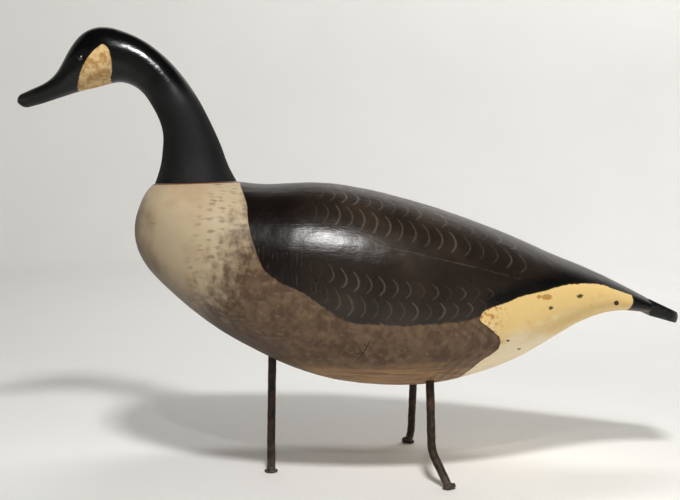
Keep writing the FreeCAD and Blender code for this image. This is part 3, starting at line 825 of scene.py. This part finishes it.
def breast_paint(g, past_start):
    """Cream at the breast, dabbed and mottled brown towards the flank, tan under the belly, with painted
    shade along the breast's front edge and its low edge above the keel.
    """
    mottle = g.noise(105, 4, stretch=(1, 1, 0.75), shift=4)
    broad = g.noise(32, 3, shift=9)
    warm = g.smooth(g.noise(24, 2, shift=11), 0.46, 0.66) * g.smooth(g.x, -0.135, -0.175)
    colour = g.mix(warm * 0.45, CREAM, TAN)
    flank = g.mix(g.smooth(mottle + (broad - 0.5) * 0.5, 0.34, 0.66), FLANK, FLANK_DARK)
    flank = g.mix(g.smooth(g.noise(150, 4, shift=13), 0.52, 0.72) * 0.45, flank, FLANK_LIGHT)
    brown = g.smooth(g.x - g.z * 0.5 + (mottle - 0.5) * 0.10, -0.287, -0.222)
    colour = g.mix(brown * 0.95, colour, flank)
    tan = g.smooth(g.z + (g.noise(30, 3, stretch=(0.3, 1, 1.6), shift=8) - 0.5) * 0.05, 0.145, 0.110)
    grain = g.smooth(g.noise(160, 3, stretch=(0.12, 1, 1.5), shift=15), 0.50, 0.64)
    belly = g.mix(grain * 0.6, BELLY_TAN, FLANK_DARK)
    colour = g.mix(tan * g.smooth(g.x, -0.12, -0.02) * 0.8, colour, belly)
    colour = g.mix(dabs(g) * 0.75, colour, OLIVE)
    # Painted shade: the breast's front edge and the low band just above the keel are darkened towards a dark
    # brown, standing in for the shade that falls there.
    front = g.smooth(g.x + (broad - 0.5) * 0.05, -0.214, -0.248)
    above_keel = g.z - g.curve(g.x, KEEL_LINE)
    low = g.smooth(above_keel + (broad - 0.5) * 0.03, 0.055, 0.008) * g.smooth(g.x, -0.03, -0.09)
    colour = g.mix(g.math("MAXIMUM", front * 0.6, low * 0.7), colour, PAINTED_SHADE)
    bars = g.math("SINE", past_start * 520 + g.noise(30, 2) * 4)
    barred = g.smooth(past_start, -0.080, -0.02) * g.smooth(bars, -0.3, 1.0)
    return g.mix(barred * g.smooth(broad, 0.3, 0.6) * 0.5, colour, FLANK_DARK)


def oval_spots(g, places):
    """A mask of small soft ovals on the left side: x, z, half length and half height."""
    mask = 0.0
    ragged = (g.noise(420, 3, shift=14) - 0.5) * 2.6
    for x, z, long, tall in places:
        u, v = (g.x - x) / long, (g.z - z) / tall
        mask = g.math("MAXIMUM", mask, g.smooth(u * u + v * v + ragged, 1.4, 0.5))
    return mask * g.smooth(g.y, 0.0, -0.01)


def near_line(g, start, end, width):
    """A mask of a thin straight line between two (x, z) points."""
    (ax, az), (bx, bz) = start, end
    run = math.hypot(bx - ax, bz - az)
    cx, cz = (bx - ax) / run, (bz - az) / run
    along = (g.x - ax) * cx + (g.z - az) * cz
    along = g.math("MINIMUM", g.math("MAXIMUM", along, 0.0), run)
    off_x, off_z = g.x - ax - along * cx, g.z - az - along * cz
    return g.smooth(g.math("SQRT", off_x * off_x + off_z * off_z), width * 1.3, width * 0.5)


def crack_mask(g):
    """The darkened lips of the crack in the left flank: dirt in the crack, and painted shade in the recess.
    """
    mask = 0.0
    for points, width in CRACK_ARMS:
        places = [(x * MM, z * MM) for x, z in points]
        for start, end in zip(places, places[1:]):
            mask = g.math("MAXIMUM", mask, near_line(g, start, end, width * MM))
    return mask * g.smooth(g.y, 0.0, -0.01)


def rump_paint(g, past_start):
    """Ivory with ochre stains, speckled red-brown where it meets the flank, and worn to wood."""
    stain = g.smooth(g.noise(60, 4, shift=6), 0.58, 0.74)
    colour = g.mix(stain * 0.35, RUMP, (0.60, 0.38, 0.12))
    pale = g.smooth(g.z + (g.noise(28, 3, stretch=(0.5, 1, 1), shift=2) - 0.5) * 0.12, 0.185, 0.150)
    colour = g.mix(pale * 0.75, colour, (0.90, 0.80, 0.61))
    speckle = g.smooth(g.noise(230, 4, shift=12), 0.50, 0.62)
    corner = g.smooth(g.x, 0.178, 0.142) * g.smooth(g.z, 0.168, 0.184)
    rim = g.smooth(past_start, 0.010, 0.0)
    colour = g.mix(speckle * g.math("MAXIMUM", corner, rim * 0.4), colour, RUMP_STAIN)
    ochre = oval_spots(g, [(0.2143, 0.2078, 0.006, 0.003), (0.205, 0.2085, 0.003, 0.002)])
    colour = g.mix(ochre * 0.8, colour, RUMP_STAIN)
    chips = oval_spots(g, [(x, z, long * 1.1, tall * 1.2) for x, z, long, tall, _, _ in CHIPS])
    return g.mix(chips * 0.9, colour, (0.055, 0.030, 0.018))


def body_paint():
    """The body's whole paint scheme, alike on both sides."""
    g = Graph("body_paint")
    ragged = (g.noise(260, 3, shift=1) - 0.5) * 0.004 + (g.noise(70, 2, shift=3) - 0.5) * 0.004
    over_edge = g.z + ragged - g.curve(g.x, WING_EDGE)
    above_edge = g.smooth(over_edge, -0.0012, 0.0012) * g.smooth(g.x + ragged, -0.1255, -0.1235)
    wing = g.math("MAXIMUM", above_edge, g.smooth(g.x, 0.1385, 0.1395) * g.smooth(g.z, 0.185, 0.189))
    under_top = g.curve(g.x, RUMP_TOP) - g.z + ragged * 0.5
    past_start = g.x - g.curve(g.z, RUMP_START) + ragged * 0.5
    before_end = g.curve(g.z, RUMP_END) - g.x + ragged * 0.5
    inside = g.math("MINIMUM", g.math("MINIMUM", under_top, past_start), before_end)
    rump = g.smooth(inside, -0.0006, 0.0006) * g.smooth(g.x, 0.100, 0.105)
    colour = g.mix(wing, breast_paint(g, past_start), wing_paint(g))
    rim = g.smooth(inside, -0.0030, -0.0006) * g.smooth(g.x, 0.1, 0.12) * g.smooth(g.noise(90, 3), 0.35, 0.6)
    colour = g.mix(rim * 0.65, colour, (0.035, 0.020, 0.012))
    colour = g.mix(rump, colour, rump_paint(g, past_start))
    # The crack's lips are darkened: partly dirt, partly painted shade inside the crack.
    colour = g.mix(crack_mask(g), colour, CRACK_DARK)
    colour = joint_lines(g, colour)
    grain = g.noise(180, 4, stretch=(0.12, 1, 1), shift=7)
    strokes = g.noise(520, 3, stretch=(0.4, 1, 1), shift=2)
    normal = g.bump((g.noise(45, 3), 0.0005), (grain, 0.00022), (strokes, 0.00010))
    roughness = 0.50 - wing * 0.20 + (g.noise(60, 3, shift=8) - 0.5) * 0.14
    return g.finish(colour, roughness, normal, Specular_IOR_Level=0.36)


def joint_lines(g, colour):
    """Red-brown undercoat at the neck seat, and a hairline where the board meets the hull."""
    seat, up = neck_axis()
    lift = g.z - seat.z + (g.x - seat.x) * (up.x / up.z)
    near_seat = g.smooth(g.math("ABSOLUTE", lift) + (g.noise(300, 3) - 0.5) * 0.0012, 0.0016, 0.0006)
    near_seat = near_seat * g.smooth(g.x, -0.120, -0.128)
    colour = g.mix(near_seat, colour, RED_BROWN)
    seam = g.smooth(g.math("ABSOLUTE", g.z - SEAM_HEIGHT), 0.0009, 0.0003)
    seam = seam * g.smooth(g.noise(60, 3, shift=4), 0.40, 0.60)
    front = g.smooth(g.x, -0.220, -0.212) * g.smooth(g.x, -0.182, -0.190)
    middle = g.smooth(g.x, -0.124, -0.120) * g.smooth(g.x, -0.106, -0.110)
    return g.mix(seam * g.math("MAXIMUM", front, middle) * 0.5, colour, CRACK_DARK)


def head_paint():
    """Glossy black with a cream cheek, edged in the red-brown undercoat."""
    g = Graph("head_paint")
    ragged = (g.noise(300, 3, shift=1) - 0.5) * 0.003
    ahead = g.x - g.curve(g.z, CHEEK_FRONT) + ragged
    behind = g.curve(g.z, CHEEK_BACK) - g.x + ragged
    under = 0.4885 - g.z
    inside = g.math("MINIMUM", g.math("MINIMUM", ahead, behind), under)
    cheek = g.smooth(inside, -0.0004, 0.0006)
    rim = g.smooth(inside, -0.0022, -0.0006) * (0.4 + g.noise(120, 2) * 0.6)
    mottle = g.noise(110, 4, shift=5)
    cream = g.mix(g.smooth(mottle, 0.42, 0.62), (0.70, 0.52, 0.26), (0.47, 0.29, 0.11))
    cream = g.mix(g.smooth(g.noise(190, 3, shift=9), 0.54, 0.68) * 0.6, cream, (0.42, 0.20, 0.09))
    black = g.mix(g.smooth(g.noise(90, 4, shift=3), 0.62, 0.78) * 0.6, BLACK, BLACK_WORN)
    bill_wear = g.smooth(g.x, -0.352, -0.376) * g.smooth(g.noise(220, 3), 0.40, 0.62)
    black = g.mix(bill_wear * 0.55, black, (0.05, 0.036, 0.027))
    colour = g.mix(rim, black, (0.030, 0.012, 0.007))
    colour = g.mix(cheek, colour, cream)
    normal = g.bump((g.noise(60, 3, shift=2), 0.0005), (g.noise(420, 3, stretch=(0.5, 1, 1)), 0.00012))
    dull = g.smooth(g.z, 0.455, 0.410)
    roughness = 0.205 + cheek * 0.2 + dull * 0.5 + (g.noise(80, 3, shift=6) - 0.5) * 0.08
    return g.finish(colour, roughness, normal, Specular_IOR_Level=0.44)


def tail_paint():
    g = Graph("tail_paint")
    worn = g.smooth(g.noise(260, 4, stretch=(0.5, 1, 1)), 0.52, 0.68) * g.smooth(g.x, 0.345, 0.375)
    colour = g.mix(worn * 0.7, BLACK, (0.10, 0.085, 0.070))
    normal = g.bump((g.noise(60, 3), 0.0005), (g.noise(300, 4, stretch=(0.2, 1, 1)), 0.0003))
    return g.finish(colour, 0.32 + worn * 0.25, normal, Coat_Weight=0.15, Coat_Roughness=0.2)


def iron():
    """Dark forged iron, browned by rust and rubbed lighter towards the feet."""
    g = Graph("forged_iron")
    rust = g.smooth(g.noise(140, 5, shift=2), 0.42, 0.66)
    colour = g.mix(rust, (0.036, 0.027, 0.023), (0.095, 0.058, 0.038))
    rubbed = g.smooth(g.z, 0.022, 0.004) * g.smooth(g.noise(260, 3, shift=4), 0.30, 0.55)
    colour = g.mix(rubbed * 0.7, colour, (0.14, 0.12, 0.10))
    normal = g.bump((g.noise(300, 4), 0.0006), (g.noise(1400, 3, shift=3), 0.0002))
    return g.finish(colour, 0.42 + rust * 0.3, normal, Metallic=0.55)


def rusty_steel():
    g = Graph("rusty_steel")
    rust = g.smooth(g.noise(900, 4), 0.4, 0.6)
    colour = g.mix(rust, (0.05, 0.035, 0.028), (0.13, 0.055, 0.025))
    return g.finish(colour, 0.55 + rust * 0.25, g.bump((g.noise(2500, 3), 0.0002)), Metallic=0.4)


def bare_wood(name, light, dark, stretch):
    """Unpainted wood with growth rings and pores along its grain."""
    g = Graph(name)
    rings = g.noise(60, 4, stretch=stretch, rough=0.6)
    pores = g.noise(900, 3, stretch=stretch, shift=5)
    colour = g.mix(g.smooth(rings, 0.40, 0.62), light, dark)
    colour = g.mix(g.smooth(pores, 0.58, 0.75) * 0.35, colour, (0.20, 0.11, 0.05))
    return g.finish(colour, 0.62 + pores * 0.15, g.bump((rings, 0.0003), (pores, 0.0001)))


def glass_bead():
    """A black-brown glass eye."""
    g = Graph("glass_bead")
    speck = g.smooth(g.noise(1500, 3), 0.45, 0.7)
    colour = g.mix(speck, (0.004, 0.003, 0.003), (0.016, 0.009, 0.005))
    return g.finish(colour, 0.05 + speck * 0.04, g.bump((g.noise(700, 2), 0.00002)), Coat_Weight=1.0)


def dress(thing, material):
    thing.data.materials.clear()
    thing.data.materials.append(material)


def dress_node(name, material):
    """Gives a carried-over CAD node its material, on its object's own slots."""
    node = frame["nodes"][name]
    for slot in node.material_slots:
        slot.link = "OBJECT"
        slot.material = material


def dress_everything(hull, board, head, tail, legs):
    body = body_paint()
    for piece in (hull, board):
        dress(piece, body)
    dress(head, head_paint())
    dress(tail, tail_paint())
    forged = iron()
    for leg in legs:
        dress(leg, forged)
    pine = bare_wood("pine", BARE_PINE, (0.40, 0.23, 0.10), (0.15, 1, 1))
    for name in ("neck_block", "front_leg_block", "left_leg_block", "right_leg_block"):
        dress_node(name, pine)
    dress_node("neck_dowel", bare_wood("dowel", (0.60, 0.41, 0.22), (0.48, 0.30, 0.15), (1, 1, 0.1)))
    steel = rusty_steel()
    for name in ("seam_nails", "tail_nails"):
        dress_node(name, steel)
    bead = glass_bead()
    for name in ("left_eye", "right_eye"):
        dress_node(name, bead)


# ---------------------------------------------------------------- studio

def stage_paint():
    g = Graph("studio_white")
    tone = g.noise(3, 2)
    return g.finish(g.mix(tone, (0.80, 0.79, 0.765), (0.84, 0.83, 0.81)), 0.75)


BACKDROP_SIDES = 96
BEND_STEPS = 12
WALL_DISTANCE = 3.2
WALL_BEND = 0.8
FAR_WALL_HEIGHT = 4.0
NEAR_WALL_HEIGHT = 1.8


def backdrop_profile():
    """(radius, height) from the floor's middle to the foot of the straight wall."""
    flat = WALL_DISTANCE - WALL_BEND
    profile = [(radius, 0.0) for radius in (0.4, 0.8, 1.2, 1.6, 2.0, flat)]
    for i in range(1, BEND_STEPS + 1):
        turn = i / BEND_STEPS * math.pi / 2
        profile.append((flat + WALL_BEND * math.sin(turn), WALL_BEND * (1 - math.cos(turn))))
    return profile


def make_backdrop():
    """A pale round floor that curves up into a wall, which is high behind the bird and low in front."""
    turns = [i / BACKDROP_SIDES * 2 * math.pi for i in range(BACKDROP_SIDES)]
    profile = backdrop_profile()
    points = [(0.0, 0.0, 0.0)]
    for radius, z in profile:
        points += [(radius * math.cos(turn), radius * math.sin(turn), z) for turn in turns]
    for turn in turns:
        top = FAR_WALL_HEIGHT if turn < math.pi else NEAR_WALL_HEIGHT
        points.append((WALL_DISTANCE * math.cos(turn), WALL_DISTANCE * math.sin(turn), top))
    faces = [(0, 1 + i, 1 + (i + 1) % BACKDROP_SIDES) for i in range(BACKDROP_SIDES)]
    for row in range(len(profile)):
        lower = 1 + row * BACKDROP_SIDES
        upper = lower + BACKDROP_SIDES
        for i in range(BACKDROP_SIDES):
            j = (i + 1) % BACKDROP_SIDES
            faces.append((lower + i, upper + i, upper + j, lower + j))
    mesh = bpy.data.meshes.new("backdrop")
    mesh.from_pydata(points, [], faces)
    mesh.polygons.foreach_set("use_smooth", [True] * len(faces))
    backdrop = new_object("backdrop", mesh)
    dress(backdrop, stage_paint())


def area_light(name, place, target, size, power):
    data = bpy.data.lights.new(name, "AREA")
    data.shape = "RECTANGLE"
    data.size, data.size_y = size
    data.energy = power
    light = new_object(name, data)
    light.location = place
    light.rotation_euler = (Vector(target) - Vector(place)).to_track_quat("-Z", "Y").to_euler()
    light.visible_camera = False
    return light


def make_world():
    """A dim, even room light."""
    world = bpy.data.worlds.new("studio")
    bpy.context.scene.world = world
    world.use_nodes = True
    room = world.node_tree.nodes["Background"]
    room.inputs["Color"].default_value = (0.90, 0.89, 0.88, 1)
    room.inputs["Strength"].default_value = 0.03


def make_lights():
    """A small key over the camera, a soft fill, a wash on the far wall and a spot on the floor."""
    area_light("key", (0.12, -0.95, 1.50), (0.05, 0.0, 0.25), (0.23, 0.17), 21)
    soft = area_light("soft", (1.2, -1.6, 2.0), (0.1, 0.0, 0.2), (1.6, 1.6), 4)
    wash = area_light("wash", (1.0, 1.0, 2.6), (0.7, 3.1, 0.5), (2.2, 1.0), 60)
    for light in (soft, wash):
        light.visible_glossy = False
    data = bpy.data.lights.new("near_floor", "SPOT")
    data.energy = 50
    data.spot_size = math.radians(110)
    data.spot_blend = 0.6
    spot = new_object("near_floor", data)
    spot.location = (0.0, -1.9, 2.0)


CAMERA_PLACE = (-0.0107, -1.100, 0.340)
CAMERA_TILT_DOWN = 4.54
LENS_MM = 50
SENSOR_MM = 36


def make_camera():
    data = bpy.data.cameras.new("camera")
    data.lens = LENS_MM
    data.sensor_width = SENSOR_MM
    camera = new_object("camera", data)
    camera.location = CAMERA_PLACE
    camera.rotation_euler = (math.radians(90 - CAMERA_TILT_DOWN), 0, 0)
    bpy.context.scene.camera = camera


make_camera()
hull, board = make_body()
head = make_head()
tail = make_tail()
legs = [make_leg(joint) for joint in leg_joints()]
dress_everything(hull, board, head, tail, legs)
make_backdrop()
make_world()
make_lights()
bpy.context.scene.view_settings.view_transform = "Standard"
bpy.context.scene.view_settings.gamma = 0.88
